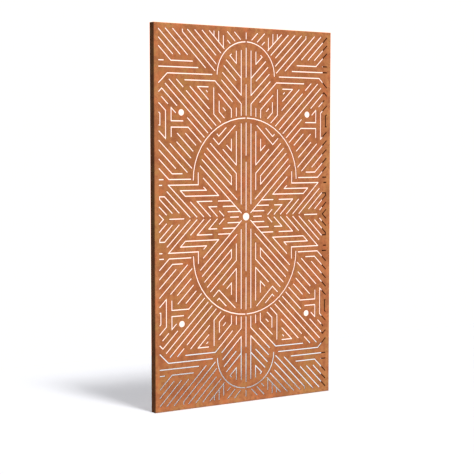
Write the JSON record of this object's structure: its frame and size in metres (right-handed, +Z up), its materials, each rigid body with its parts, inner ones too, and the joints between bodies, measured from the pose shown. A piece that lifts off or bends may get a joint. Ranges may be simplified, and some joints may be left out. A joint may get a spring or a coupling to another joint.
{
  "type": "screen panel",
  "caption": "Pierced weathering steel screen panel, a sheet folded into a shallow tray with slots, arches and round holes cut through its face, for fixing to posts or a wall.",
  "frame": {"origin": "centre of the underside of the bottom return, halfway between the face and the back", "axes": "+Z up the panel, +Y from the pierced face towards the open back, +X along the face, so the face looks along -Y"},
  "size_m": [0.99, 0.042, 1.8],
  "materials": {
    "weathering_steel": "matt rust patina on bare rolled steel"
  },
  "bodies": {
    "root": {"screen_panel": "weathering_steel"}
  },
  "joints": []
}
